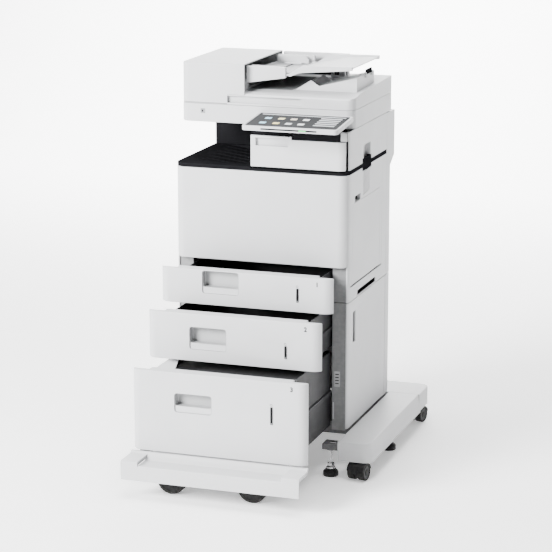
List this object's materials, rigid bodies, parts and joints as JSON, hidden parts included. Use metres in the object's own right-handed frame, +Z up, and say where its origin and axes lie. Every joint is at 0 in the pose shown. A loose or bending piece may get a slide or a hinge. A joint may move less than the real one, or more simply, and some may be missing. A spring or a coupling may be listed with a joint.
{
  "type": "photocopier",
  "caption": "Upright office photocopier with document feeder, tilting touch panel, paper drawers drawn out and a wheeled base with outriggers.",
  "frame": {"origin": "on the floor, at the middle of the bounding box with the drawers as they stand at rest", "axes": "+Z up, -Y towards the operator, +X to the operator's right"},
  "size_m": [0.71, 0.99, 1.135],
  "materials": {
    "cover_white": "fine textured moulded plastic, off-white",
    "tray_grey": "satin moulded plastic, dark grey",
    "trim_black": "satin black plastic",
    "steel_painted": "dark powder coat",
    "steel_zinc": "zinc plated sheet",
    "castor_black": "black nylon",
    "wheel_black": "hard black tread",
    "glass_clear": "clear float glass",
    "screen_glass": "dark glossy touch panel",
    "toner_plastic": "smooth bottle plastic",
    "belt_dark": "smooth dark belt"
  },
  "bodies": {
    "machine": {"base_cover_right": "cover_white", "base_cover_left": "cover_white", "base_cover_rear": "cover_white", "base_frame": "steel_painted", "levelling_feet": "steel_zinc", "cabinet_frame": "steel_zinc", "cabinet_cover_left": "cover_white", "cabinet_cover_rear": "cover_white", "main_frame": "steel_zinc", "main_cover_left": "cover_white", "main_cover_right": "cover_white", "main_cover_rear": "cover_white", "tower_side_cover": "cover_white", "output_deck": "trim_black", "bin_walls": "trim_black", "panel_support": "trim_black", "scanner_case": "cover_white", "platen_glass": "glass_clear", "laser_unit": "trim_black", "drum_units": "trim_black", "transfer_belt": "belt_dark", "toner_cartridges": "toner_plastic", "fixing_unit": "steel_painted", "control_board": "trim_black", "power_inlet": "trim_black"},
    "drawer_1": {"drawer_1_front": "cover_white", "drawer_1_tray": "tray_grey"},
    "drawer_2": {"drawer_2_front": "cover_white", "drawer_2_tray": "tray_grey"},
    "drawer_3": {"drawer_3_front": "cover_white", "drawer_3_tray": "tray_grey", "foot_panel": "cover_white"},
    "lift_plate": {"drawer_3_lift_plate": "steel_zinc"},
    "side_door": {"cabinet_side_door": "cover_white"},
    "front_cover": {"front_cover": "cover_white"},
    "tower_cover": {"tower_cover": "cover_white"},
    "right_door": {"right_door": "cover_white"},
    "mp_tray": {"mp_tray": "cover_white"},
    "door_latch": {"door_latch": "trim_black"},
    "control_panel": {"control_panel": "cover_white", "touch_screen": "screen_glass"},
    "scan_carriage": {"scan_carriage": "trim_black"},
    "feeder": {"feeder_base": "cover_white"},
    "feed_cover": {"feed_cover": "cover_white"},
    "supply_tray": {"supply_tray": "cover_white"},
    "guide_front": {"guide_front": "cover_white"},
    "guide_rear": {"guide_rear": "cover_white"},
    "paper_stop": {"paper_stop": "trim_black"},
    "castor_front_right": {"castor_front_right": "castor_black"},
    "castor_wheels_front_right": {"castor_wheels_front_right": "wheel_black"},
    "castor_front_left": {"castor_front_left": "castor_black"},
    "castor_wheels_front_left": {"castor_wheels_front_left": "wheel_black"},
    "castor_rear_right": {"castor_rear_right": "castor_black"},
    "castor_wheels_rear_right": {"castor_wheels_rear_right": "wheel_black"},
    "castor_rear_left": {"castor_rear_left": "castor_black"},
    "castor_wheels_rear_left": {"castor_wheels_rear_left": "wheel_black"},
    "drawer_castor_right": {"drawer_castor_right": "castor_black"},
    "drawer_castor_wheels_right": {"drawer_castor_wheels_right": "wheel_black"},
    "drawer_castor_left": {"drawer_castor_left": "castor_black"},
    "drawer_castor_wheels_left": {"drawer_castor_wheels_left": "wheel_black"}
  },
  "joints": [
    {"name": "castor_front_right_swivel", "type": "hinge", "parent": "machine", "child": "castor_front_right", "pos_m": [0.318, -0.122, 0.052], "axis": [0, 0, 1], "continuous": true},
    {"name": "castor_front_right_roll", "type": "hinge", "parent": "castor_front_right", "child": "castor_wheels_front_right", "pos_m": [0.31505, -0.13874, 0.0235], "axis": [0.9848, -0.1736, 0], "continuous": true},
    {"name": "castor_front_left_swivel", "type": "hinge", "parent": "machine", "child": "castor_front_left", "pos_m": [-0.318, -0.122, 0.052], "axis": [0, 0, 1], "continuous": true},
    {"name": "castor_front_left_roll", "type": "hinge", "parent": "castor_front_left", "child": "castor_wheels_front_left", "pos_m": [-0.3136, -0.13842, 0.0235], "axis": [0.9659, 0.2588, 0], "continuous": true},
    {"name": "castor_rear_right_swivel", "type": "hinge", "parent": "machine", "child": "castor_rear_right", "pos_m": [0.318, 0.435, 0.052], "axis": [0, 0, 1], "continuous": true},
    {"name": "castor_rear_right_roll", "type": "hinge", "parent": "castor_rear_right", "child": "castor_wheels_rear_right", "pos_m": [0.3224, 0.45142, 0.0235], "axis": [-0.9659, 0.2588, 0], "continuous": true},
    {"name": "castor_rear_left_swivel", "type": "hinge", "parent": "machine", "child": "castor_rear_left", "pos_m": [-0.318, 0.435, 0.052], "axis": [0, 0, 1], "continuous": true},
    {"name": "castor_rear_left_roll", "type": "hinge", "parent": "castor_rear_left", "child": "castor_wheels_rear_left", "pos_m": [-0.32095, 0.45174, 0.0235], "axis": [-0.9848, -0.1736, 0], "continuous": true},
    {"name": "drawer_castor_right_swivel", "type": "hinge", "parent": "drawer_3", "child": "drawer_castor_right", "pos_m": [0.117, -0.405, 0.09], "axis": [0, 0, 1], "continuous": true},
    {"name": "drawer_castor_right_roll", "type": "hinge", "parent": "drawer_castor_right", "child": "drawer_castor_wheels_right", "pos_m": [0.099, -0.405, 0.042], "axis": [0, -1, 0], "continuous": true},
    {"name": "drawer_castor_left_swivel", "type": "hinge", "parent": "drawer_3", "child": "drawer_castor_left", "pos_m": [-0.117, -0.405, 0.09], "axis": [0, 0, 1], "continuous": true},
    {"name": "drawer_castor_left_roll", "type": "hinge", "parent": "drawer_castor_left", "child": "drawer_castor_wheels_left", "pos_m": [-0.135, -0.405, 0.042], "axis": [0, -1, 0], "continuous": true},
    {"name": "drawer_1_slide", "type": "slide", "parent": "machine", "child": "drawer_1", "axis": [0, -1, 0], "range_m": [-0.125, 0.215]},
    {"name": "drawer_2_slide", "type": "slide", "parent": "machine", "child": "drawer_2", "axis": [0, -1, 0], "range_m": [-0.227, 0.115]},
    {"name": "drawer_3_slide", "type": "slide", "parent": "machine", "child": "drawer_3", "axis": [0, -1, 0], "range_m": [-0.345, 0]},
    {"name": "lift_plate_slide", "type": "slide", "parent": "drawer_3", "child": "lift_plate", "axis": [0, 0, 1], "range_m": [-0.17, 0]},
    {"name": "side_door_hinge", "type": "hinge", "parent": "machine", "child": "side_door", "pos_m": [0.247, 0.309, 0.3], "axis": [0, 0, 1], "range_deg": [0, 85]},
    {"name": "front_cover_hinge", "type": "hinge", "parent": "machine", "child": "front_cover", "pos_m": [0, -0.0615, 0.592], "axis": [1, 0, 0], "range_deg": [0, 80]},
    {"name": "tower_cover_hinge", "type": "hinge", "parent": "machine", "child": "tower_cover", "pos_m": [0.112, -0.0615, 0.8625], "axis": [1, 0, 0], "range_deg": [0, 75]},
    {"name": "right_door_hinge", "type": "hinge", "parent": "machine", "child": "right_door", "pos_m": [0.247, 0.12, 0.53], "axis": [0, 1, 0], "range_deg": [0, 45]},
    {"name": "mp_tray_hinge", "type": "hinge", "parent": "right_door", "child": "mp_tray", "pos_m": [0.2505, 0.119, 0.532], "axis": [0, 1, 0], "range_deg": [0, 70]},
    {"name": "door_latch_hinge", "type": "hinge", "parent": "right_door", "child": "door_latch", "pos_m": [0.251, 0.1185, 0.839], "axis": [0, 1, 0], "range_deg": [0, 25]},
    {"name": "control_panel_tilt", "type": "hinge", "parent": "machine", "child": "control_panel", "pos_m": [0.1195, -0.062, 0.974], "axis": [1, 0, 0], "range_deg": [0, 40]},
    {"name": "scan_carriage_slide", "type": "slide", "parent": "machine", "child": "scan_carriage", "axis": [1, 0, 0], "range_m": [0, 0.385]},
    {"name": "feeder_hinge", "type": "hinge", "parent": "machine", "child": "feeder", "pos_m": [0, 0.3645, 1.0215], "axis": [-1, 0, 0], "range_deg": [0, 70]},
    {"name": "feed_cover_hinge", "type": "hinge", "parent": "feeder", "child": "feed_cover", "pos_m": [-0.2515, 0.155, 1.0265], "axis": [0, -1, 0], "range_deg": [0, 70]},
    {"name": "supply_tray_hinge", "type": "hinge", "parent": "feeder", "child": "supply_tray", "pos_m": [0.053, 0.147, 1.106], "axis": [0, -1, 0], "range_deg": [0, 60]},
    {"name": "guide_front_slide", "type": "slide", "parent": "feeder", "child": "guide_front", "axis": [0, 1, 0], "range_m": [0, 0.085]},
    {"name": "guide_rear_slide", "type": "slide", "parent": "feeder", "child": "guide_rear", "axis": [0, 1, 0], "range_m": [-0.085, 0]},
    {"name": "paper_stop_hinge", "type": "hinge", "parent": "feeder", "child": "paper_stop", "pos_m": [0.244, 0.163, 1.101], "axis": [0, 1, 0], "range_deg": [0, 80]}
  ],
  "couplings": [
    {"joint": "guide_rear_slide", "follows": "guide_front_slide", "ratio": -1}
  ]
}
